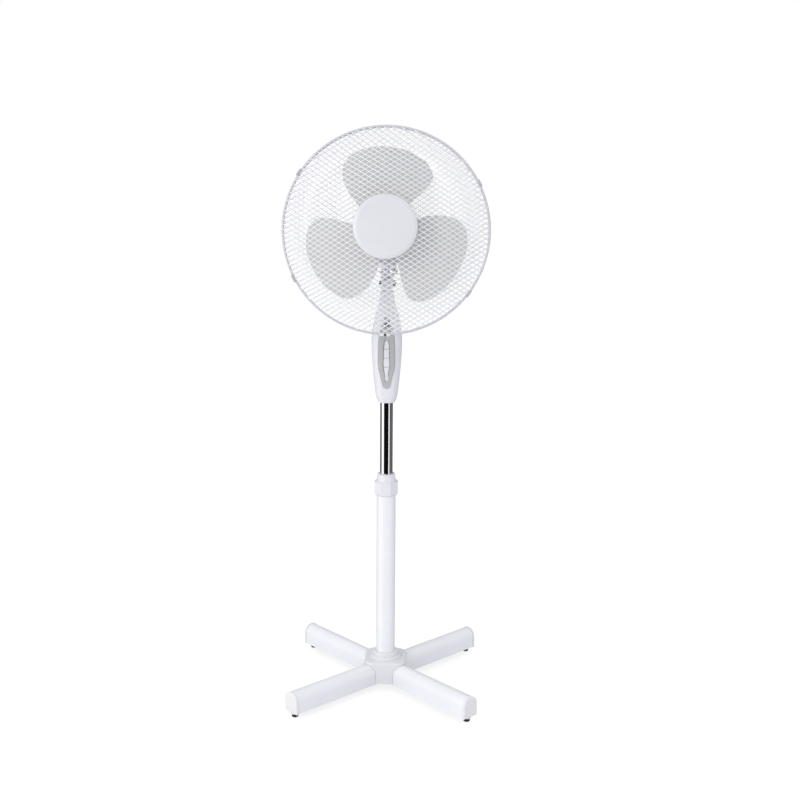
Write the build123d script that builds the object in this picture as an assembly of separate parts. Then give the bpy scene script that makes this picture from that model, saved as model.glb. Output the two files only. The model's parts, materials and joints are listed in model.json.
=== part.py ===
from build123d import *
from math import asin, atan2, cos, degrees, hypot, sin, sqrt
import os

os.makedirs("parts", exist_ok=True)

# Pedestal fan on a cross base. Millimetres. The origin is on the floor under the
# pole, +Z is up and the fan blows towards -Y.

# ---- Stand ------------------------------------------------------------------
leg_reach = 274.0          # pole axis to the outer face of an end cap
leg_width = 38.0
leg_bottom = 13.0
leg_side = 26.0            # straight side below the arched top
leg_wall = 1.2
cap_face = 5.0             # thickness of the end cap outside the bar
cap_seam = 1.0             # shadow gap between a bar and its cap
foot_circle = 262.0        # radius on which the feet stand
foot_r = 7.0
foot_boss_r = 9.2          # boss of the end cap above each foot
leg_angles = (45, 135, 225, 315)
stand_turn = -1.5          # the base is turned this much under the mast
leg_top = leg_bottom + leg_side + leg_width / 2
lap_z = 36.0               # height at which the two bars are half-lapped

hub_width = 94.0
hub_bottom = 15.0
hub_top = 64.0
hub_ring_r = 31.0
hub_lip_top = 79.0
arch_gap = 0.8             # between the cover's arches and the bars

outer_tube_r = 21.0
outer_tube_wall = 1.2
outer_tube_foot = 60.5
outer_tube_top = 476.0
base_screw_r = 29.0

# ---- Mast -------------------------------------------------------------------
inner_tube_r = 14.0
inner_tube_wall = 1.0
inner_tube_low = 300.0
inner_tube_top = 704.0
collar_low = 449.0
collar_shoulder = 480.0
collar_top = 497.0
collar_grip_r = 25.5
fit_gap = 0.08             # radial clearance of a running fit
free_gap = 0.3             # clearance between bodies that pass each other

housing_wall = 2.4
# height, width and depth of the control housing's sections
housing_sections = (
    (660, 36, 37),
    (666, 42, 42),
    (690, 51, 47),
    (722, 58, 51),
    (762, 64, 54),
    (798, 66, 55),
    (826, 61, 52),
    (856, 47, 44),
    (884, 33, 34),
    (903, 27.5, 29),
)
parting_y = 4.0            # the two housing shells meet here
seam_width = 0.6           # shadow groove along the parting
seam_depth = 0.7
trim_low = 694.0
trim_high = 852.0
trim_half_width = 18.0
trim_proud = 1.8
trim_seam = 0.6            # shadow gap round the trim
window_low = 709.0
window_high = 815.0
window_half_width = 7.8
button_front_y = -26.6
button_depth = 9.0
button_low = 722.0
button_high = 800.0
button_gap = 0.6
button_names = ("button_off", "button_low", "button_medium", "button_high")
front_screw_z = 832.0
cord_hole_z = 712.0
cord_hole_y = 24.1
cord_hole_r = 5.5
# x, height and seat depth of the screws in the back of the housing
housing_screw_places = ((0, 745, 24.6), (17, 812, 23.4), (-17, 812, 23.4))

# ---- Tilt joint and head ------------------------------------------------------
pivot_z = 920.0
head_tilt = 11.0           # the head leans back from level by this many degrees
axis_height = 100.0        # motor axis above the tilt pivot
neck_width = 26.0
tongue_width = 12.0
neck_ear_r = 12.0
deck_z = 22.0              # top of the neck's deck above the pivot
sleeve_r = 13.0
swivel_pin_r = 4.0
crank_centre = (15.0, -38.0)
crank_throw = 7.0
crank_z = deck_z + 7.8      # height of the crank arm above the pivot
lug_r = 12.5

# Distances along the motor axis, forward of the swivel pin
rim_plane = 116.0          # where the two halves of the guard meet
ring_r = 212.5             # centre line of the guard's rim rings
ring_wire_r = 2.5
rim_gap = 0.15             # half the gap between the two rim wires
mesh_wire_r = 0.8
mesh_angle = 32.0          # strands rise at this angle from level
mesh_pitch = 9.0
front_depth = 66.0
rear_depth = 66.0
rear_hole_r = 56.0
badge_r = 65.0
clip_angles = (27, 147, 208, 323)
clip_width = 15.0
clip_curl_r = 4.1          # outside of a clip's curl round the rim wire

motor_r = 44.0
motor_cover_r = 57.0
shaft_r = 4.0
rotor_tip_r = 170.0
blade_count = 3
blade_thickness = 2.2
blade_plane = 125.0        # middle of the petals along the motor axis
blade_pitch = 13.0
blade_dish_r = 330.0
blade_hub_r = 30.0
blade_hub_low = 80.0
blade_hub_high = 132.0
drive_pin_z = 86.0

tilt_frame = Pos(0, 0, pivot_z) * Rot(-head_tilt, 0, 0)
head_frame = tilt_frame * Pos(0, 0, axis_height) * Rot(90, 0, 0)
# In head_frame x is to the right, y is up and z is forward along the motor axis.


def save(shape, name):
    """Write one sub-part to its own STEP file."""
    shape.label = name
    export_step(shape, f"parts/{name}.step")


def ring(outer, inner, low, high):
    """Plain tube between two heights."""
    return Pos(0, 0, low) * extrude(Circle(outer) - Circle(inner), high - low)


def rod(radius, low, high):
    return Pos(0, 0, low) * extrude(Circle(radius), high - low)


def block(width, depth, low, high, corner=0.0):
    """Upright block centred on the Z axis."""
    outline = RectangleRounded(width, depth, corner) if corner else Rectangle(width, depth)
    return Pos(0, 0, low) * extrude(outline, high - low)


def turned(points):
    """Revolve an outline given as (radius, height) points about Z."""
    outline = Plane.XZ * make_face(Polyline(*points, close=True))
    return revolve(outline, Axis.Z)


def round_edges(shape, radius, *heights):
    """Fillet the circular edges that lie at the given heights."""
    picked = [
        edge
        for edge in shape.edges()
        if edge.geom_type == GeomType.CIRCLE and any(abs(edge.center().Z - h) < 0.01 for h in heights)
    ]
    return fillet(picked, radius)


# ---- Stand --------------------------------------------------------------------
def leg_outline(grow=0.0, low=leg_bottom):
    """Arched inverted-U outline across a leg, in the YZ plane."""
    half = leg_width / 2 + grow
    spring = leg_bottom + leg_side
    sides = Polyline((half, spring), (half, low), (-half, low), (-half, spring))
    arch = ThreePointArc((-half, spring), (0, spring + half), (half, spring))
    return Plane.YZ * make_face(sides + arch)


def leg_bar(angle, upper):
    """Folded steel channel; the two bars cross in a half-lap at the pole."""
    half_length = leg_reach - cap_face - cap_seam
    solid = extrude(leg_outline(), half_length, both=True)
    hollow = extrude(leg_outline(-leg_wall, leg_bottom - 1), half_length + 1, both=True)
    notch_width = leg_width + 2 * free_gap
    if upper:
        notch = block(notch_width, 2 * leg_width, 0, lap_z + free_gap)
    else:
        notch = block(notch_width, 2 * leg_width, lap_z - free_gap, 2 * leg_top)
    screw_holes = Pos(base_screw_r, 0, 0) * rod(2.6, 50, 60) + Pos(-base_screw_r, 0, 0) * rod(2.6, 50, 60)
    return Rot(0, 0, angle) * (solid - hollow - notch - screw_holes)


def leg_caps():
    """Moulded plugs that close the bars and carry the feet."""
    inner_end = leg_reach - 34
    face = extrude(leg_outline(0.8, leg_bottom - 0.8), cap_face)
    face = fillet(face.faces().sort_by(Axis.X)[-1].edges(), 2.2)
    face = Pos(leg_reach - cap_face, 0, 0) * face
    plug = extrude(leg_outline(-leg_wall - 0.1), leg_reach - cap_face - inner_end)
    plug = Pos(inner_end, 0, 0) * plug
    core = extrude(leg_outline(-leg_wall - 2.2, leg_bottom + 3), 24)
    plug -= Pos(inner_end - 1, 0, 0) * core
    boss = Pos(foot_circle, 0, 0) * rod(foot_boss_r, 8.0, leg_bottom + 1)
    socket = Pos(foot_circle, 0, 0) * rod(3.0, 0, leg_bottom + 2)
    cap = face + plug + boss - socket
    return Compound(children=[Rot(0, 0, a) * cap for a in leg_angles])


def rubber_feet():
    """Soft buttons with a stem that is pressed into each end cap."""
    pad = turned([(0, 0), (foot_r - 1, 0), (foot_r, 1.2), (foot_r, 7), (foot_r - 0.8, 8), (0, 8)])
    foot = Pos(foot_circle, 0, 0) * (pad + rod(2.9, 7.5, leg_bottom))
    return Compound(children=[Rot(0, 0, a) * foot for a in leg_angles])


def hub_cover():
    """Square moulded cover over the crossing, arched for each leg."""
    body = block(hub_width, hub_width, hub_bottom, hub_top, 22)
    body = fillet(body.faces().sort_by(Axis.Z)[-1].edges(), 5)
    step = round_edges(rod(hub_ring_r + 4, hub_top - 1, hub_top + 6), 4, hub_top + 6)
    lip = round_edges(rod(hub_ring_r - 2, hub_top, hub_lip_top), 4, hub_lip_top)
    body = body + step + lip
    inside = block(hub_width - 5, hub_width - 5, 0, hub_top - 1.9, 20)
    body -= inside
    body -= rod(outer_tube_r + 0.2, 0, hub_lip_top + 1)
    arch = extrude(leg_outline(arch_gap, 0), leg_reach, both=True)
    for angle in (45, 135):
        body -= Rot(0, 0, angle) * arch
    return body


def pole_socket():
    """Steel flange and sleeve that hold the outer tube on the legs."""
    plate = block(56, 56, leg_top + 0.1, leg_top + 2.4, 8)
    sleeve = ring(outer_tube_r - outer_tube_wall - 0.1, 16.5, leg_top + 2, 110)
    socket = plate + sleeve
    for angle in leg_angles:
        socket -= Rot(0, 0, angle) * Pos(base_screw_r, 0, 0) * rod(2.6, 50, 70)
    return socket - rod(16.5, 50, 70)


def base_screws():
    """Four screws through the flange into the bars."""
    screw = rod(2.4, leg_top - 6, leg_top + 3) + rod(4.2, leg_top + 2.45, leg_top + 3.9)
    screw -= Pos(0, 0, leg_top + 3.9) * Box(6, 1, 1.2)
    return Compound(children=[Rot(0, 0, a) * Pos(base_screw_r, 0, 0) * screw for a in leg_angles])


def outer_tube():
    """Painted steel tube, pushed down over the socket's sleeve."""
    return ring(outer_tube_r, outer_tube_r - outer_tube_wall, outer_tube_foot, outer_tube_top)


def collet_bush():
    """Split plastic bush in the top of the outer tube, gripped by the collar."""
    seat = outer_tube_r - outer_tube_wall - 0.05
    bore = inner_tube_r + fit_gap
    bush = turned([
        (bore, outer_tube_top - 40), (seat, outer_tube_top - 40), (seat, outer_tube_top + 0.1),
        (outer_tube_r - 0.4, outer_tube_top + 0.1), (outer_tube_r - 0.4, outer_tube_top + 2.4),
        (17.6, outer_tube_top + 4), (16.4, collar_top - 5), (bore, collar_top - 5),
    ])
    for angle in (0, 60, 120):
        bush -= Rot(0, 0, angle) * Pos(0, 0, outer_tube_top + 12) * Box(60, 1.2, 18)
    return bush


def height_collar():
    """Octagonal clamping nut with a scalloped crown."""
    grip = Pos(0, 0, collar_low) * extrude(RegularPolygon(collar_grip_r, 8, major_radius=False), 31)
    grip = Rot(0, 0, 22.5) * grip
    grip = chamfer(grip.edges().filter_by_position(Axis.Z, collar_low - 0.1, collar_low + 0.1), 3)
    grip = chamfer(grip.edges().filter_by_position(Axis.Z, collar_low + 30.9, collar_low + 31.1), 2.5)
    crown = turned([
        (0, collar_shoulder - 3), (22.2, collar_shoulder - 3), (20.6, collar_shoulder + 6),
        (19, collar_top), (0, collar_top),
    ])
    collar = grip + crown
    for step in range(8):
        arc_cut = Pos(25.4, 0, collar_top + 1) * Rot(0, -12, 0) * rod(6.4, -15, 2)
        collar -= Rot(0, 0, 45 * step + 22.5) * arc_cut
    bore = turned([
        (0, 440), (outer_tube_r + free_gap, 440), (outer_tube_r + free_gap, outer_tube_top + 4),
        (18.2, outer_tube_top + 6), (17.2, collar_top - 4), (inner_tube_r + 0.4, collar_top - 4),
        (inner_tube_r + 0.4, collar_top + 1), (0, collar_top + 1),
    ])
    return collar - bore


# ---- Mast ---------------------------------------------------------------------
def inner_tube():
    tube = ring(inner_tube_r, inner_tube_r - inner_tube_wall, inner_tube_low, inner_tube_top)
    return round_edges(tube, 0.4, inner_tube_top)


def housing_form(grow):
    """Smooth body through the housing's sections, larger by grow on every side."""
    sections = []
    for height, width, depth in housing_sections:
        side = min(width, depth)
        outline = RectangleRounded(width + 2 * grow, depth + 2 * grow, 0.44 * side + grow)
        sections.append(Pos(0, 0, height) * outline)
    return loft(sections)


def egg_prism(low, high, half_width, front, back):
    """Prism along Y with a long egg outline, round below and narrow above."""
    height = high - low
    # share of the height and of the half width
    profile = ((0, 0), (0.09, 0.55), (0.26, 0.9), (0.45, 1.0), (0.66, 0.93), (0.82, 0.7), (0.93, 0.38), (1, 0))
    right = [(half_width * w, height * h) for h, w in profile]
    left = [(-x, y) for x, y in right]
    side = Spline(*right, tangents=[(1, 0), (-1, 1)])
    other = Spline(*left, tangents=[(-1, 0), (1, 1)])
    face = make_face(side + other)
    return Pos(0, back, low) * Rot(90, 0, 0) * extrude(face, back - front)


def housing_parts():
    """Front shell, rear shell and the grey trim let into the front."""
    outer = housing_form(0)
    inner = housing_form(-housing_wall)
    floor_cut = block(80, 80, 640, 663)
    roof_cut = block(80, 80, 898, 920)
    cavity = inner - floor_cut - roof_cut
    shell = outer - cavity
    shell -= rod(inner_tube_r + 0.1, 640, inner_tube_top + 0.5)
    clamp = ring(inner_tube_r + 4, inner_tube_r + 0.1, 662, inner_tube_top - 2)
    front_half = Pos(0, parting_y - 50, 780) * Box(100, 100, 300)
    trim_hole = egg_prism(trim_low - trim_seam, trim_high + trim_seam, trim_half_width + trim_seam, -60, -10)
    front = (shell & front_half) - trim_hole
    rear = shell - front_half
    rear += clamp - front_half
    front += clamp & front_half
    for x, z, seat in housing_screw_places:
        post = Pos(x, 0, z) * Rot(-90, 0, 0) * rod(4.5, parting_y + 0.1, seat)
        bore = Pos(x, 0, z) * Rot(-90, 0, 0) * (rod(1.6, parting_y - 1, 40) + rod(3.6, seat, 40))
        rear = rear + post - bore
    skin = outer - housing_form(-seam_depth)
    rear -= skin & (Pos(0, parting_y + seam_width / 2, 780) * Box(100, seam_width, 300))
    screw_post = Pos(0, 0, front_screw_z) * Rot(-90, 0, 0) * (rod(4.2, -14, 22) - rod(2.05, -15, -4))
    rear += screw_post
    tongue = Plane.YZ * make_face(Polyline((-12, 0), (-12, 30)) + Line((-12, 0), (12, 0))
                                  + Line((12, 0), (12, 30)) + ThreePointArc((12, 30), (0, 42), (-12, 30)))
    tongue = Pos(0, 0, pivot_z - 30) * extrude(tongue, tongue_width / 2, both=True)
    tongue -= Pos(0, 0, pivot_z) * Rot(0, 90, 0) * extrude(Circle(4.05), 20, both=True)
    rear += tongue & Pos(0, parting_y + 50, 900) * Box(100, 100, 100)
    front += tongue & Pos(0, parting_y - 50, 900) * Box(100, 100, 100)
    shaft = egg_prism(trim_low, trim_high, trim_half_width, -60, -10)
    window = egg_prism(window_low, window_high, window_half_width, -60, -10)
    trim = (shaft & (housing_form(trim_proud) - housing_form(-housing_wall - 0.4))) - window
    recess = Pos(0, -27, front_screw_z) * Rot(90, 0, 0) * extrude(Circle(5.2), 20, both=True)
    trim -= recess
    rear -= Pos(0, 24, cord_hole_z) * Rot(90, 0, 0) * Cylinder(cord_hole_r, 20)
    return front, rear, trim


def front_screw():
    """Dark screw through the trim that clamps the housing on the mast."""
    head = Pos(0, -20.5, front_screw_z) * Rot(90, 0, 0) * rod(4.9, 0, 6)
    stem = Pos(0, -20.5, front_screw_z) * Rot(90, 0, 0) * rod(2, -14, 1)
    slot = Pos(0, -26.5, front_screw_z)
    return head + stem - slot * Box(7, 2.4, 1.3) - slot * Box(1.3, 2.4, 7)


def button_panel():
    """Pale plate behind the buttons, with a window for each one."""
    back = -17.0
    plate = egg_prism(window_low + 0.3, window_high - 0.3, window_half_width - 0.2, -24.4, back)
    opening = button_high - button_low + 2 * button_gap
    middle = (button_high + button_low) / 2
    inside = egg_prism(window_low + 3, window_high - 3, window_half_width - 1.0, -60, 0)
    slot = inside & Pos(0, -20, middle) * Box(40, 40, opening)
    flange = Pos(0, back + 1, middle) * Box(28, 2, 106)
    flange -= Pos(0, back, middle) * Box(13.2, 10, opening)
    return plate - slot + (flange - slot)


def buttons():
    """Four latching push buttons that together fill the window."""
    form = egg_prism(window_low + 3.4, window_high - 3.4, window_half_width - 1.35,
                      button_front_y, button_front_y + button_depth)
    height = (button_high - button_low - 3 * button_gap) / 4
    made = []
    for place, name in enumerate(button_names):
        middle = button_high - height / 2 - place * (height + button_gap)
        cap = form & Pos(0, -20, middle) * Box(40, 40, height)
        face = cap.faces().sort_by(Axis.Y)[0]
        cap = chamfer(face.edges(), 0.4)
        stem = Pos(0, button_front_y + button_depth, middle) * Box(4, 6, 8)
        made.append((name, cap + stem))
    return made


def switch_block():
    """Push-button switch body behind the panel, open for the four stems."""
    middle = (button_high + button_low) / 2
    height = button_high - button_low + 8
    body = Pos(0, -5, middle) * Box(16, 17.6, height)
    pitch = (button_high - button_low + button_gap) / 4
    for place in range(4):
        z = button_high - (pitch - button_gap) / 2 - place * pitch
        body -= Pos(0, -13, z) * Box(5.2, 12, 9.2)
    for place in range(5):
        z = middle - 26 + 13 * place
        body += Pos(6.3, 6, z) * Box(2.6, 6, 0.8)
    return body


def run_capacitor():
    """Motor capacitor beside the switch."""
    can = Pos(0, 18.5, 785) * Box(20, 9, 30)
    can = fillet(can.edges().filter_by(Axis.Z), 1.5)
    return can


def housing_screws():
    """Three screws from the back that hold the shells together."""
    screws = []
    for x, z, seat in housing_screw_places:
        head = rod(3.2, 0.02, 1.8) - Pos(0, 0, 1.8) * Box(5, 0.8, 1.2)
        stem = rod(1.5, -14, 0.5)
        screws.append(Pos(x, seat, z) * Rot(-90, 0, 0) * (head + stem))
    return Compound(children=screws)


def cord_inlet():
    """Rubber grommet where a supply lead enters at the back."""
    bush = turned([(3.6, -3.4), (7.2, -3.4), (7.2, -2.2), (5.4, -2.2), (5.4, 1.8), (7.4, 1.8),
                   (6.2, 5.5), (3.6, 7)])
    return Pos(0, cord_hole_y, cord_hole_z) * Rot(-90, 0, 0) * bush


def tilt_bolt():
    """Bolt through the tilt joint, with a round head and a nut."""
    stem = rod(4.0, -neck_width / 2 - 0.5, neck_width / 2 + 6)
    head = round_edges(rod(6.2, -neck_width / 2 - 4.4, -neck_width / 2 - 0.4), 1.6, -neck_width / 2 - 4.4)
    nut = Pos(0, 0, neck_width / 2 + 0.4) * extrude(RegularPolygon(6.4, 6), 4.2)
    return Pos(0, 0, pivot_z) * Rot(0, 90, 0) * (stem + head + nut)


# ---- Tilt neck ------------------------------------------------------------------
def tilt_neck():
    """Forked arm that rises from the tilt bolt to the swivel deck."""
    side = Plane.YZ * make_face(
        Line((-13, deck_z), (-neck_ear_r, 0))
        + ThreePointArc((-neck_ear_r, 0), (0, -neck_ear_r), (neck_ear_r, 0))
        + Line((neck_ear_r, 0), (15, deck_z))
        + Line((15, deck_z), (-13, deck_z))
    )
    arm = extrude(side, neck_width / 2, both=True)
    arm -= block(tongue_width + 2 * free_gap, 60, -20, neck_ear_r + 1)
    arm -= Rot(0, 90, 0) * extrude(Circle(4.0 + fit_gap), 30, both=True)
    deck = Pos(0, 1, 0) * block(29, 28, deck_z - 5, deck_z, 8)
    boss = rod(5.6, deck_z - 1, deck_z + 6)
    neck = arm + deck + boss
    lug = Pos(*lug_place(), 0) * rod(2.0, deck_z - 1, deck_z + 4.2)
    neck = neck + lug - rod(swivel_pin_r, deck_z - 7.5, deck_z + 7)
    return tilt_frame * neck


def lug_place():
    """Place of the link's fixed pin on the deck, square to the crank's direction."""
    heading = atan2(-crank_centre[1], crank_centre[0])
    return (-lug_r * sin(heading), lug_r * cos(heading))


def crank_rest():
    """Place of the crank pin at rest, straight down the link's mid position."""
    heading = atan2(-crank_centre[1], crank_centre[0])
    return (crank_centre[0] + crank_throw * cos(heading), -crank_centre[1] + crank_throw * sin(heading))


def swivel_pin():
    pin = rod(swivel_pin_r, deck_z - 7, deck_z + 26)
    return tilt_frame * round_edges(pin, 0.8, deck_z + 26)


def crank_link():
    """Flat link from the deck's lug to the crank; it runs just under the crank pin."""
    x0, y0 = lug_place()
    x1, y1 = crank_rest()
    length = hypot(x1 - x0, y1 - y0)
    heading = degrees(atan2(y1 - y0, x1 - x0))
    bar = Pos(length / 2, 0, 0) * Box(length, 5, 2) + Cylinder(4.2, 2) + Pos(length, 0, 0) * Cylinder(5, 2)
    bar -= Cylinder(2.0 + fit_gap, 4)
    bar -= Pos(length, 0, 0) * Cylinder(2.4, 4)
    return tilt_frame * Pos(x0, y0, deck_z + 1.6) * Rot(0, 0, heading) * bar


# ---- Motor ------------------------------------------------------------------------
def motor_bracket():
    """Die-cast foot under the motor with the sleeve that turns on the swivel pin."""
    sleeve = rod(sleeve_r, deck_z + 6.3, axis_height - 40)
    saddle = Pos(0, -8, 0) * block(44, 30, axis_height - motor_r - 7, axis_height - 20, 6)
    motor_space = Pos(0, 0, axis_height) * Rot(90, 0, 0) * extrude(Circle(motor_r + 0.2), 80, both=True)
    foot = sleeve + saddle - rod(swivel_pin_r + fit_gap, 0, deck_z + 26.8)
    return tilt_frame * (foot - motor_space)


def bell(low, high, wall, boss_high, open_up):
    """Cast motor bell with a bearing boss and cooling slots."""
    cup = rod(motor_r, low, high)
    hollow_low, hollow_high = (low + wall, high + 1) if open_up else (low - 1, high - wall)
    cup -= rod(motor_r - 2.5, hollow_low, hollow_high)
    boss_low, boss_top = (boss_high, low + wall) if open_up else (high - wall, boss_high)
    cup += rod(12, boss_low, boss_top)
    for step in range(8):
        slot = Rot(0, 0, 45 * step) * Pos(29, 0, (low + high) / 2) * Box(14, 7, 2 * (high - low) + 20)
        web = rod(motor_r + 1, low + wall, high) if open_up else rod(motor_r + 1, low, high - wall)
        cup -= slot - web
    return cup - rod(6.5, min(boss_low, low) - 1, max(boss_top, high) + 1)


def motor_front_bell():
    return head_frame * bell(20, 44, 3, 52, False)


def motor_rear_bell():
    return head_frame * bell(-20, -4, 3, -26, True)


def shaft_bearings():
    """Sintered bushes in the two bells."""
    front = ring(6.45, shaft_r + fit_gap, 42, 52)
    rear = ring(6.45, shaft_r + fit_gap, -26, -18)
    return head_frame * Compound(children=[front, rear])


def stator_core():
    """Laminated stack with sixteen slots."""
    stack = ring(motor_r, 24.5, -3.9, 19.9)
    for step in range(16):
        stack -= Rot(0, 0, 22.5 * step) * Pos(30, 0, 8) * Box(12.6, 4.4, 40)
    return head_frame * stack


def stator_windings():
    """Coil heads on both ends of the stack."""
    coils = []
    for low, high in ((-14, -4.1), (20.1, 31)):
        coil = ring(38, 26.5, low, high)
        coil = fillet(coil.edges().filter_by(GeomType.CIRCLE), 3)
        coils.append(coil)
    return head_frame * Compound(children=coils)


def gearbox_case():
    """Cast case behind the motor that holds the worm wheel."""
    case = Pos(8, 0, -38.5) * Box(44, 34, 24)
    case = fillet(case.edges().filter_by(Axis.Y), 4)
    case -= Pos(crank_centre[0], 0, crank_centre[1]) * Rot(90, 0, 0) * Cylinder(12.8, 26)
    case -= Pos(0, 0, -36) * Cylinder(6.2, 40)
    spindle = Pos(crank_centre[0], 0, crank_centre[1]) * Rot(90, 0, 0) * Cylinder(4 + fit_gap, 60)
    return head_frame * (case - spindle)


def motor_cover_front():
    """Moulded plate in front of the motor that carries the rear guard."""
    plate = turned([
        (13.5, 46.5), (49, 46.5), (52, 38), (motor_cover_r - 2, 30), (motor_cover_r, 30),
        (motor_cover_r, 40), (60, 44.5), (60, 49.4), (30, 49.4), (30, 56), (28, 56), (28, 49.4),
        (13.5, 49.4),
    ])
    return head_frame * plate


def motor_cover_rear():
    """Domed rear cover with cooling slots, open below for the bracket."""
    cover_r = motor_cover_r
    outline = (
        Line((0, -88), (20, -88))
        + ThreePointArc((20, -88), (47, -72), (cover_r - 1, -30))
        + Line((cover_r - 1, -30), (cover_r, 29.6))
        + Line((cover_r, 29.6), (cover_r - 2.2, 29.6))
        + Line((cover_r - 2.2, 29.6), (cover_r - 3.2, -30))
        + ThreePointArc((cover_r - 3.2, -30), (45.2, -70.4), (20, -85.8))
        + Line((20, -85.8), (0, -85.8))
        + Line((0, -85.8), (0, -88))
    )
    cover = revolve(Plane.XZ * make_face(outline), Axis.Z)
    for step in range(-3, 4):
        slot = Pos(8 * step, 0, -86) * Box(3, 46 - 4 * abs(step), 20)
        cover -= slot
    for side in (-1, 1):
        for step in range(6):
            vent = Rot(0, 0, 90 - side * 90) * Pos(cover_r, 0, 14 - 8 * step) * Box(14, 30, 3)
            cover -= vent
    cover -= Pos(0, -52, -8) * Box(46, 44, 82)
    cover -= Pos(0, 0, -88) * Cylinder(1.8, 20)
    cover -= Pos(crank_centre[0], 40, crank_centre[1]) * Rot(90, 0, 0) * Cylinder(7.4, 60)
    return head_frame * cover


def cover_screw():
    """Screw in the middle of the rear cover."""
    head = rod(4.0, -90.4, -88.1) - Pos(0, 0, -90.4) * Box(6, 1, 1.4)
    return head_frame * (head + rod(1.7, -89, -78))


def oscillation_knob():
    """Pull-up knob on top of the rear cover; pushed down it makes the head swing."""
    knob = turned([(0, 0), (8.6, 0), (9.4, 9), (8.2, 11), (0, 11.6)])
    for step in range(12):
        knob -= Rot(0, 0, 30 * step) * Pos(9.9, 0, 5) * Cylinder(1.1, 14)
    knob += rod(4.2, -30, 0.5)
    return head_frame * Pos(crank_centre[0], 60, crank_centre[1]) * Rot(-90, 0, 0) * knob


# ---- Gear train -----------------------------------------------------------------------
def worm_wheel():
    """Toothed wheel and spindle driven by the worm on the motor shaft."""
    wheel = Cylinder(10.2, 8)
    for step in range(24):
        wheel -= Rot(0, 0, 15 * step) * Pos(10.6, 0, 0) * Cylinder(0.9, 10)
    spindle = rod(4, crank_z - 1.5 - axis_height, 24)
    place = Pos(crank_centre[0], 0, crank_centre[1]) * Rot(-90, 0, 0)
    return head_frame * place * (wheel + spindle)


def crank_arm():
    """Arm on the spindle's lower end with the pin that drives the link."""
    heading = degrees(atan2(-crank_centre[1], crank_centre[0]))
    arm = Pos(crank_throw / 2, 0, 0) * Box(crank_throw, 8, 3) + Cylinder(6.5, 3)
    arm += Pos(crank_throw, 0, 0) * Cylinder(4, 3)
    arm -= Cylinder(4.02, 4)
    arm += Pos(crank_throw, 0, -2.6) * Cylinder(1.9, 2.6)
    return tilt_frame * Pos(crank_centre[0], -crank_centre[1], crank_z) * Rot(0, 0, heading) * arm


# ---- Rotor ----------------------------------------------------------------------------
def shaft():
    """Motor shaft with the worm cut at its rear end."""
    body = rod(shaft_r, -50, blade_hub_high + 15)
    for step in range(8):
        body -= ring(shaft_r + 1, shaft_r - 0.8, -44 + 1.9 * step, -43 + 1.9 * step)
    body -= Pos(0, 0, drive_pin_z) * Rot(0, 90, 0) * Cylinder(1.5, 20)
    return head_frame * body


def rotor_core():
    core = ring(24.1, shaft_r, -3.9, 19.9)
    core += ring(20, 10, -7, -3) + ring(20, 10, 19, 23)
    return head_frame * core


def drive_pin():
    """Cross pin that turns the blade hub."""
    return head_frame * Pos(0, 0, drive_pin_z) * Rot(0, 90, 0) * Cylinder(1.45, 22)


def petal():
    """Broad dished petal reaching along +X, cut from a thin pitched barrel."""
    outline = Spline(
        (20, -20), (54, -46), (92, -84), (112, -95), (132, -90), (152, -69), (165, -38), (rotor_tip_r, 0),
        (167, 32), (156, 64), (136, 85), (110, 90), (78, 79), (46, 54), (20, 22),
    )
    outline = make_face(outline + Line((20, 22), (20, -20)))
    column = Pos(0, 0, blade_plane) * extrude(outline, 60, both=True)
    barrel = extrude(Circle(blade_dish_r) - Circle(blade_dish_r - blade_thickness), 260)
    barrel = Pos(0, 0, -blade_dish_r) * Rot(0, 90, 0) * barrel
    barrel = Pos(0, 0, blade_plane) * Rot(blade_pitch, 0, 0) * barrel
    return column & barrel


def blade():
    """Moulded rotor: three petals on a ribbed cup."""
    cup = round_edges(rod(blade_hub_r, blade_hub_low, blade_hub_high), 5, blade_hub_high)
    cup -= rod(blade_hub_r - 2.6, blade_hub_low - 1, blade_hub_high - 4)
    cup += rod(10, blade_hub_low + 2, blade_hub_high - 1)
    for step in range(6):
        cup += Rot(0, 0, 60 * step + 30) * Pos(18, 0, 108) * Box(19, 1.6, 44)
    rotor = cup
    one = petal() - rod(blade_hub_r - 2.5, 60, 180)
    for step in range(blade_count):
        rotor += Rot(0, 0, 90 + 120 * step) * one
    rotor -= rod(shaft_r + 0.05, 60, 150)
    rotor -= Pos(0, 0, drive_pin_z - 1) * Box(23, 3.3, 5.2)
    return head_frame * rotor


def spinner():
    """Left-hand nut that holds the blade on the shaft."""
    low = blade_hub_high + 0.1
    nut = turned([(shaft_r + 0.02, low), (15, low), (15, low + 4), (11, low + 13), (7, low + 16),
                  (0, low + 16.6), (0, low + 15), (shaft_r + 0.02, low + 15)])
    for step in range(6):
        nut -= Rot(0, 0, 60 * step) * Pos(16.2, 0, low + 6) * Cylinder(2.4, 14)
    return head_frame * nut


# ---- Guard ------------------------------------------------------------------------------
def dome(depth):
    """Sphere radius of a guard dome of this depth."""
    return (ring_r ** 2 + depth ** 2) / (2 * depth)


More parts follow.
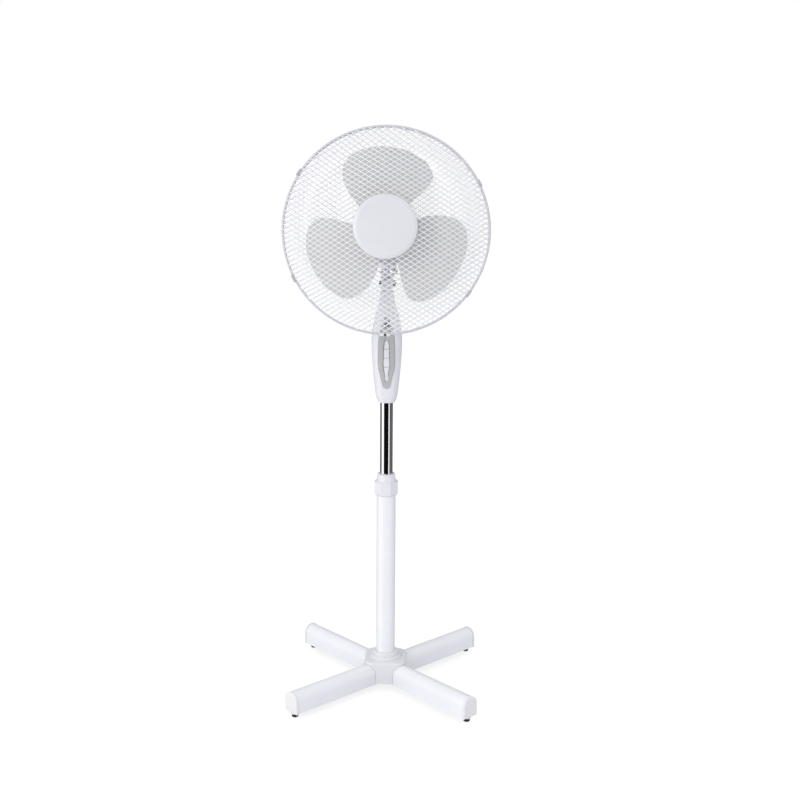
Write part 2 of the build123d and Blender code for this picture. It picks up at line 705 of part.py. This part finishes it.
def mesh_wires(depth, facing, angle, lift, hole):
    """Parallel strands of one layer, each an arc in its own plane.

    facing is 1 for the front guard and -1 for the rear one; lift moves the layer
    out along the dome's radius; strands stop at the hole when there is one. A
    lifted layer ends a little inside the rim wire's centre line.
    """
    sphere_r = dome(depth) + lift
    end_r = ring_r - 1.0 if lift else ring_r
    centre = rim_plane + facing * (ring_wire_r + rim_gap + depth - dome(depth))
    count = int((ring_r - 4) / mesh_pitch)
    wires = []
    for index in range(-count, count + 1):
        offset = (index + 0.5) * mesh_pitch
        if abs(offset) > ring_r - 4:
            continue
        arc_r = sqrt(sphere_r ** 2 - offset ** 2)
        half = sqrt(end_r ** 2 - offset ** 2)
        end = asin(half / arc_r)
        spans = [(-end, end)]
        if abs(offset) < hole:
            start = asin(sqrt(hole ** 2 - offset ** 2) / arc_r)
            spans = [(-end, -start), (start, end)]
        for first, last in spans:
            points = []
            for turn in (first, (first + last) / 2, last):
                points.append((arc_r * sin(turn), offset, centre + facing * arc_r * cos(turn)))
            path = ThreePointArc(*points)
            section = Plane(origin=points[0], z_dir=path % 0) * Circle(mesh_wire_r)
            wires.append(Rot(0, 0, angle) * sweep(section, path))
    return head_frame * Compound(children=wires)


def rim_ring(place):
    return Pos(0, 0, place) * Torus(ring_r, ring_wire_r)


def front_ring():
    return head_frame * rim_ring(rim_plane + ring_wire_r + rim_gap)


def rear_rings():
    """Rim wire and the small ring round the motor."""
    rim_z = rim_plane - ring_wire_r - rim_gap
    small_z = rim_z + dome(rear_depth) - rear_depth - sqrt(dome(rear_depth) ** 2 - rear_hole_r ** 2)
    small = Pos(0, 0, small_z) * Torus(rear_hole_r, 2.0)
    return head_frame * Compound(children=[rim_ring(rim_z), small])


def guard_seat():
    """Flange ring that clamps the rear guard to the motor cover."""
    seat_z = 49.7
    seat = ring(rear_hole_r - 3, 30.6, seat_z, seat_z + 5.6)
    plate = ring(rear_hole_r + 4, 30.6, seat_z + 5.4, seat_z + 7.4)
    nut = seat + plate + ring(36, 30.6, seat_z + 6, seat_z + 12)
    for step in range(8):
        nut += Rot(0, 0, 45 * step) * Pos(39, 0, seat_z + 9) * Box(10, 4, 6)
    return head_frame * nut


def badge():
    """Round blank cap in the middle of the front guard, dished at the back."""
    apex = rim_plane + ring_wire_r + rim_gap + front_depth + 2 * mesh_wire_r
    cap = turned([
        (0, apex + 5.4), (badge_r - 7, apex + 3.0), (badge_r - 5.4, apex + 2.2), (badge_r - 1, apex + 0.4),
        (badge_r, apex - 1), (badge_r, apex - 4.3), (badge_r - 2, apex - 4.3), (badge_r - 2, apex - 3),
        (badge_r - 6, apex - 1.4), (0, apex + 2.1),
    ])
    return head_frame * cap


def guard_clip(angle):
    """Small spring clip that curls round the rear rim wire and hooks over the front one."""
    wire = Pos(ring_r, 0, rim_plane - ring_wire_r - rim_gap)
    high = rim_plane + 2 * ring_wire_r + 1.9
    outer_face = ring_r + clip_curl_r
    sector = Pos(ring_r + 11.3, 0, wire.position.Z - 4) * Box(20, 30, 12)
    curl = wire * Rot(90, 0, 0) * (Cylinder(clip_curl_r, clip_width) - Cylinder(ring_wire_r + fit_gap, 40))
    curl = curl & sector
    plate_height = high - wire.position.Z
    plate = Pos(outer_face - 0.6, 0, high - plate_height / 2) * Box(1.2, clip_width, plate_height)
    lip_reach = outer_face - ring_r - 0.8
    lip = Pos(outer_face - lip_reach / 2, 0, high - 0.6) * Box(lip_reach, clip_width, 1.2)
    return head_frame * Rot(0, 0, angle) * (curl + plate + lip)


def lock_clip():
    """Clamp at the bottom of the rim, closed by a screw."""
    reach = ring_r + ring_wire_r
    body = Pos(reach - 0.4, 0, rim_plane) * Box(5, 22, 17)
    body = fillet(body.edges().filter_by(Axis.X), 3)
    body -= Pos(0, 0, rim_plane) * (ring(reach + 0.3, 150, -5.5, 5.5))
    body -= Pos(reach, 0, rim_plane + 3) * Cylinder(1.6, 40)
    return head_frame * Rot(0, 0, 270) * body


def lock_screw():
    head = rod(2.6, 8.6, 10.6) - Pos(0, 0, 10.6) * Box(4, 0.8, 1)
    screw = head + rod(1.5, 5.4, 9)
    reach = ring_r + ring_wire_r
    return head_frame * Rot(0, 0, 270) * Pos(reach, 0, rim_plane) * screw


def build():
    base = Rot(0, 0, stand_turn)
    save(base * leg_bar(45, False), "leg_bar_lower")
    save(base * leg_bar(135, True), "leg_bar_upper")
    save(base * leg_caps(), "leg_end_caps")
    save(base * rubber_feet(), "rubber_feet")
    save(base * hub_cover(), "hub_cover")
    save(base * pole_socket(), "pole_socket")
    save(base * base_screws(), "base_screws")
    save(outer_tube(), "outer_tube")
    save(collet_bush(), "collet_bush")
    save(height_collar(), "height_collar")
    save(inner_tube(), "inner_tube")
    front, rear, trim = housing_parts()
    save(front, "housing_front")
    save(rear, "housing_rear")
    save(trim, "panel_trim")
    save(front_screw(), "front_screw")
    save(button_panel(), "button_panel")
    for name, shape in buttons():
        save(shape, name)
    save(switch_block(), "switch_block")
    save(run_capacitor(), "run_capacitor")
    save(housing_screws(), "housing_screws")
    save(cord_inlet(), "cord_inlet")
    save(tilt_bolt(), "tilt_bolt")
    save(tilt_neck(), "tilt_neck")
    save(swivel_pin(), "swivel_pin")
    save(crank_link(), "crank_link")
    save(motor_bracket(), "motor_bracket")
    save(motor_front_bell(), "motor_front_bell")
    save(motor_rear_bell(), "motor_rear_bell")
    save(shaft_bearings(), "shaft_bearings")
    save(stator_core(), "stator_core")
    save(stator_windings(), "stator_windings")
    save(gearbox_case(), "gearbox_case")
    save(motor_cover_front(), "motor_cover_front")
    save(motor_cover_rear(), "motor_cover_rear")
    save(cover_screw(), "cover_screw")
    save(oscillation_knob(), "oscillation_knob")
    save(worm_wheel(), "worm_wheel")
    save(crank_arm(), "crank_arm")
    save(shaft(), "shaft")
    save(rotor_core(), "rotor_core")
    save(drive_pin(), "drive_pin")
    save(blade(), "blade")
    save(spinner(), "spinner")
    save(guard_seat(), "guard_nut")
    save(front_ring(), "front_ring")
    save(rear_rings(), "rear_rings")
    save(mesh_wires(front_depth, 1, mesh_angle, 0, 0), "front_mesh_rising")
    save(mesh_wires(front_depth, 1, -mesh_angle, 2 * mesh_wire_r + 0.05, 0), "front_mesh_falling")
    save(mesh_wires(rear_depth, -1, mesh_angle, 0, rear_hole_r), "rear_mesh_rising")
    save(mesh_wires(rear_depth, -1, -mesh_angle, -2 * mesh_wire_r - 0.05, rear_hole_r), "rear_mesh_falling")
    save(badge(), "badge")
    for number, angle in enumerate(clip_angles, 1):
        save(guard_clip(angle), f"guard_clip_{number}")
    save(lock_clip(), "lock_clip")
    save(lock_screw(), "lock_screw")


build()
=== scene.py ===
import json
from math import cos, pi, radians, sin

import bpy
from mathutils import Euler, Matrix, Vector


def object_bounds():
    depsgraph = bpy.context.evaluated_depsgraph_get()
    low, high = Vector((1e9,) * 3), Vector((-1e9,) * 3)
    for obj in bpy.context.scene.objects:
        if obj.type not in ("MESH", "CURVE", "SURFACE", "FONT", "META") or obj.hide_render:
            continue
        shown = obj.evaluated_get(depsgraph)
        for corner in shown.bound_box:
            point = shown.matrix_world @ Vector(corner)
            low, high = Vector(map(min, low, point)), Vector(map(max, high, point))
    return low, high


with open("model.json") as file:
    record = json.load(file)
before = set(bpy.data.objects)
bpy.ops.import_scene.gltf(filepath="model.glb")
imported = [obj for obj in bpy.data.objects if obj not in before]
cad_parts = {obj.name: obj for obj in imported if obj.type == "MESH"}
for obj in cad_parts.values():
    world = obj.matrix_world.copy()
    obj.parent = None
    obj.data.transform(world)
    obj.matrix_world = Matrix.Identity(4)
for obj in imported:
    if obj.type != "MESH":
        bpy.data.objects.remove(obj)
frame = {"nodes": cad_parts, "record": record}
cad_low, cad_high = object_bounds()
nodes = frame["nodes"]
scene = bpy.context.scene

ambient_level = 0.93
ambient_colour = (0.95, 0.96, 1.0)
key_power = 52.0
floor_glow = 0.8
floor_shade = 0.25
floor_reach = 30.0


# ---- Material building blocks -----------------------------------------------------
class Finish:
    """A Principled material with object coordinates in metres, built step by step."""

    def __init__(self, name, colour, roughness):
        self.material = bpy.data.materials.new(name)
        self.material.use_nodes = True
        self.tree = self.material.node_tree
        self.shader = self.tree.nodes["Principled BSDF"]
        self.shader.inputs["Base Color"].default_value = (*colour, 1)
        self.shader.inputs["Roughness"].default_value = roughness
        self.place = self.add("ShaderNodeTexCoord").outputs["Object"]
        self.height = None

    def add(self, kind, **settings):
        node = self.tree.nodes.new(kind)
        for key, value in settings.items():
            setattr(node, key, value)
        return node

    def link(self, source, target):
        self.tree.links.new(source, target)

    def set(self, **values):
        for name, value in values.items():
            self.shader.inputs[name.replace("_", " ")].default_value = value
        return self

    def stretched(self, scale):
        """Coordinates stretched by a factor on each axis."""
        mapping = self.add("ShaderNodeMapping")
        mapping.inputs["Scale"].default_value = scale
        self.link(self.place, mapping.inputs["Vector"])
        return mapping.outputs["Vector"]

    def noise(self, scale, detail=2.0, place=None):
        texture = self.add("ShaderNodeTexNoise")
        texture.inputs["Scale"].default_value = scale
        texture.inputs["Detail"].default_value = detail
        self.link(place or self.place, texture.inputs["Vector"])
        return texture.outputs["Fac"]

    def spread(self, source, low, high, start=0.3, stop=0.7):
        """A texture's middle range mapped to low..high."""
        mapped = self.add("ShaderNodeMapRange")
        mapped.inputs["From Min"].default_value = start
        mapped.inputs["From Max"].default_value = stop
        mapped.inputs["To Min"].default_value = low
        mapped.inputs["To Max"].default_value = high
        self.link(source, mapped.inputs["Value"])
        return mapped.outputs["Result"]

    def vary_colour(self, source, other, start=0.3, stop=0.7):
        """Blend from the present colour to another where the source is high."""
        mix = self.add("ShaderNodeMix", data_type="RGBA")
        base = self.shader.inputs["Base Color"]
        if base.is_linked:
            self.link(base.links[0].from_socket, mix.inputs["A"])
        else:
            mix.inputs["A"].default_value = base.default_value
        mix.inputs["B"].default_value = (*other, 1)
        self.link(self.spread(source, 0, 1, start, stop), mix.inputs["Factor"])
        self.link(mix.outputs["Result"], base)
        return self

    def vary_roughness(self, source, low, high):
        self.link(self.spread(source, low, high), self.shader.inputs["Roughness"])
        return self

    def bump(self, source, depth, strength=1.0):
        """Add relief of the given depth in metres; later layers stack on earlier ones."""
        node = self.add("ShaderNodeBump")
        node.inputs["Strength"].default_value = strength
        node.inputs["Distance"].default_value = depth
        self.link(source, node.inputs["Height"])
        if self.height:
            self.link(self.height, node.inputs["Normal"])
        self.height = node.outputs["Normal"]
        self.link(self.height, self.shader.inputs["Normal"])
        return self


def tinted(colour, factor):
    return tuple(min(1.0, channel * factor) for channel in colour)


def painted(name, colour, roughness, peel=0.00004):
    """Powder coat: faint orange peel, soft gloss and slight unevenness."""
    finish = Finish(name, colour, roughness)
    finish.vary_colour(finish.noise(9, 3), tinted(colour, 0.965))
    finish.vary_roughness(finish.noise(40, 3), roughness - 0.05, roughness + 0.06)
    finish.bump(finish.noise(650, 2), peel, 0.35)
    finish.set(Coat_Weight=0.25, Coat_Roughness=0.12, Specular_IOR_Level=0.5)
    return finish.material


def moulded(name, colour, roughness, grain=1400, depth=0.00002, shift=0.96, shine=0.5):
    """Injection-moulded plastic: fine spark-eroded grain and faint flow shading."""
    finish = Finish(name, colour, roughness)
    finish.vary_colour(finish.noise(14, 4), tinted(colour, shift))
    finish.vary_roughness(finish.noise(70, 3), roughness - 0.06, roughness + 0.08)
    finish.bump(finish.noise(grain, 2), depth, 0.4)
    finish.set(Specular_IOR_Level=shine)
    return finish.material


def chrome(name):
    """Plated drawn tube: mirror bright with faint lengthwise draw lines."""
    finish = Finish(name, (0.86, 0.87, 0.90), 0.05)
    finish.set(Metallic=1.0)
    drawn = finish.stretched((1, 1, 0.02))
    finish.vary_roughness(finish.noise(900, 3, drawn), 0.03, 0.10)
    finish.bump(finish.noise(600, 2, drawn), 0.000004, 0.25)
    return finish.material


def metal(name, colour, roughness, grain=500, depth=0.00003):
    finish = Finish(name, colour, roughness)
    finish.set(Metallic=1.0)
    finish.vary_colour(finish.noise(60, 4), tinted(colour, 0.8))
    finish.vary_roughness(finish.noise(300, 4), roughness - 0.1, roughness + 0.12)
    finish.bump(finish.noise(grain, 3), depth, 0.4)
    return finish.material


def striped_metal(name, colour, dark, bands, roughness):
    """Stacked sheets or wound wire: fine bands along the motor axis."""
    finish = Finish(name, colour, roughness)
    finish.set(Metallic=0.7)
    wave = finish.add("ShaderNodeTexWave", bands_direction="Y")
    wave.inputs["Scale"].default_value = bands
    wave.inputs["Distortion"].default_value = 1.2
    finish.link(finish.place, wave.inputs["Vector"])
    finish.vary_colour(wave.outputs["Fac"], dark, 0.2, 0.8)
    finish.bump(wave.outputs["Fac"], 0.0002, 0.5)
    return finish.material


def make_materials():
    """The finish of each material slot, and of the badge, whose greyer copy of the white plastic is
    painted shade.
    """
    return {
        "white_paint": painted("white_powder_coat", (0.87, 0.875, 0.90), 0.36),
        "white_plastic": moulded("white_moulded_plastic", (0.775, 0.77, 0.80), 0.38),
        # Painted shade: the badge gets a darker copy of the white plastic, for the shade on its
        # tilted, recessed face.
        "badge": moulded("badge_shaded_plastic", (0.715, 0.71, 0.74), 0.36),
        "cap_plastic": moulded("cap_plastic", (0.84, 0.83, 0.84), 0.5, 1100, 0.00004),
        "grey_plastic": moulded("grey_plastic", (0.47, 0.47, 0.465), 0.42),
        "blade_plastic": moulded("blade_plastic", (0.66, 0.66, 0.65), 0.34, 500, 0.00002),
        "dark_plastic": moulded("black_plastic", (0.012, 0.012, 0.014), 0.4),
        "foot_rubber": moulded("black_rubber", (0.018, 0.018, 0.02), 0.62, 900, 0.00006, 1.6, 0.35),
        "chrome_tube": chrome("chrome_plate"),
        "steel": metal("zinc_plated_steel", (0.56, 0.56, 0.58), 0.34),
        "black_steel": metal("blackened_steel", (0.04, 0.04, 0.045), 0.4),
        "guard_wire": painted("white_coated_wire", (0.91, 0.91, 0.925), 0.34, 0.00002),
        # Painted shade: the rim rings get a darker copy of the white wire coat, for the shade on
        # their rounded wire.
        "rim_wire": painted("shaded_rim_coated_wire", (0.61, 0.61, 0.655), 0.34, 0.00002),
        "clip_plastic": moulded("clip_plastic", (0.48, 0.48, 0.52), 0.45),
        "motor_casting": metal("cast_aluminium", (0.55, 0.55, 0.56), 0.5, 300, 0.0001),
        "lamination": striped_metal(
            "steel_laminations", (0.32, 0.32, 0.34), (0.08, 0.08, 0.09), 320, 0.45),
        "winding": striped_metal(
            "enamelled_copper", (0.55, 0.24, 0.08), (0.2, 0.07, 0.02), 200, 0.35),
        "bronze": metal("sintered_bronze", (0.5, 0.33, 0.15), 0.45),
        "gear_nylon": moulded("natural_nylon", (0.75, 0.72, 0.62), 0.45),
    }


def dress_cad_nodes(materials):
    """Give every CAD node the detailed version of its record's material, or its own."""
    slot_of = {part["node"]: part["material_slot"] for part in frame["record"]["subparts"]}
    for name, obj in nodes.items():
        material = materials.get(name, materials[slot_of[name]])
        if not obj.material_slots:
            obj.data.materials.append(material)
        for slot in obj.material_slots:
            slot.material = material


# ---- Studio -------------------------------------------------------------------------
def make_camera():
    """Looks down on the fan from the height of its top, from a little to its right."""
    pitch = radians(12.32)
    azimuth = radians(1.55)
    roll = radians(0.4)
    turn_right = radians(0.63)
    distance = 2.668
    height = 1.246
    data = bpy.data.cameras.new("camera")
    data.sensor_width = 36
    data.lens = 56.1
    camera = bpy.data.objects.new("camera", data)
    scene.collection.objects.link(camera)
    aim = Euler((pi / 2 - pitch, 0, azimuth - turn_right)).to_matrix()
    camera.matrix_world = Matrix.LocRotScale(
        Vector((distance * sin(azimuth), -distance * cos(azimuth), height)),
        (aim @ Matrix.Rotation(roll, 3, "Z")).to_quaternion(), None)
    scene.camera = camera


def area_light(name, place, target, width, height, power, colour=(1, 1, 1)):
    data = bpy.data.lights.new(name, "AREA")
    data.shape = "RECTANGLE"
    data.size = width
    data.size_y = height
    data.energy = power
    data.color = colour
    light = bpy.data.objects.new(name, data)
    light.location = place
    aim = Vector(target) - Vector(place)
    light.rotation_euler = aim.to_track_quat("-Z", "Y").to_euler()
    scene.collection.objects.link(light)


def make_floor():
    """Pale floor that looks burnt out to white, with only a faint shadow under the legs."""
    mesh = bpy.data.meshes.new("floor")
    corners = [(x * floor_reach, y * floor_reach, 0) for x, y in ((-1, -1), (1, -1), (1, 1), (-1, 1))]
    mesh.from_pydata(corners, [], [(0, 1, 2, 3)])
    floor = bpy.data.objects.new("floor", mesh)
    scene.collection.objects.link(floor)
    paper = Finish("floor_paper", (0.9, 0.9, 0.92), 0.9)
    glow = paper.add("ShaderNodeEmission")
    glow.inputs["Strength"].default_value = floor_glow
    shade = paper.add("ShaderNodeBsdfDiffuse")
    shade.inputs["Color"].default_value = (floor_shade, floor_shade, floor_shade, 1)
    both = paper.add("ShaderNodeAddShader")
    paper.link(shade.outputs["BSDF"], both.inputs[0])
    paper.link(glow.outputs["Emission"], both.inputs[1])
    path = paper.add("ShaderNodeLightPath")
    mix = paper.add("ShaderNodeMixShader")
    paper.link(path.outputs["Is Camera Ray"], mix.inputs["Fac"])
    paper.link(paper.shader.outputs["BSDF"], mix.inputs[1])
    paper.link(both.outputs["Shader"], mix.inputs[2])
    paper.link(mix.outputs["Shader"], paper.tree.nodes["Material Output"].inputs["Surface"])
    mesh.materials.append(paper.material)
    floor.visible_glossy = False


def make_world():
    """White to the eye, softer as a light; polished parts see dark walls and two soft boxes."""
    world = bpy.data.worlds.new("studio")
    scene.world = world
    world.use_nodes = True
    tree = world.node_tree
    link = tree.links.new

    def background(colour, strength):
        node = tree.nodes.new("ShaderNodeBackground")
        node.inputs["Color"].default_value = (*colour, 1)
        node.inputs["Strength"].default_value = strength
        return node.outputs["Background"]

    def mixed(factor, first, second):
        node = tree.nodes.new("ShaderNodeMixShader")
        link(factor, node.inputs["Fac"])
        link(first, node.inputs[1])
        link(second, node.inputs[2])
        return node.outputs["Shader"]

    # Tall soft boxes, as bands of direction round the Z axis: 0 is towards -Y.
    place = tree.nodes.new("ShaderNodeTexCoord")
    parts = tree.nodes.new("ShaderNodeSeparateXYZ")
    link(place.outputs["Generated"], parts.inputs["Vector"])
    back = tree.nodes.new("ShaderNodeMath")
    back.operation = "MULTIPLY"
    back.inputs[1].default_value = -1
    link(parts.outputs["Y"], back.inputs[0])
    turn = tree.nodes.new("ShaderNodeMath")
    turn.operation = "ARCTAN2"
    link(parts.outputs["X"], turn.inputs[0])
    link(back.outputs["Value"], turn.inputs[1])
    share = tree.nodes.new("ShaderNodeMapRange")
    share.inputs["From Min"].default_value = -pi
    share.inputs["From Max"].default_value = pi
    link(turn.outputs["Value"], share.inputs["Value"])
    bands = tree.nodes.new("ShaderNodeValToRGB")
    bands.color_ramp.interpolation = "CONSTANT"
    steps = ((-180, 0.16), (-92, 1.25), (-47, 0.005), (38, 1.1), (58, 0.13))
    while len(bands.color_ramp.elements) < len(steps):
        bands.color_ramp.elements.new(1.0)
    for element, (angle, level) in zip(bands.color_ramp.elements, steps):
        element.position = (angle + 180) / 360
        element.color = (level, level, level * 1.02, 1)
    link(share.outputs["Result"], bands.inputs["Fac"])
    studio = tree.nodes.new("ShaderNodeBackground")
    link(bands.outputs["Color"], studio.inputs["Color"])

    path = tree.nodes.new("ShaderNodeLightPath")
    ambient = background(ambient_colour, ambient_level)
    lit = mixed(path.outputs["Is Glossy Ray"], ambient, studio.outputs["Background"])
    seen = mixed(path.outputs["Is Camera Ray"], lit, background((1, 1, 1), 1.0))
    link(seen, tree.nodes["World Output"].inputs["Surface"])


def make_lights():
    middle = (0, 0, cad_high.z * 0.55)
    area_light("key", (-2.4, -3.2, 2.2), middle, 1.6, 2.2, key_power, (1.0, 0.99, 0.97))


make_camera()
dress_cad_nodes(make_materials())
make_floor()
make_world()
make_lights()
scene.view_settings.view_transform = "Standard"
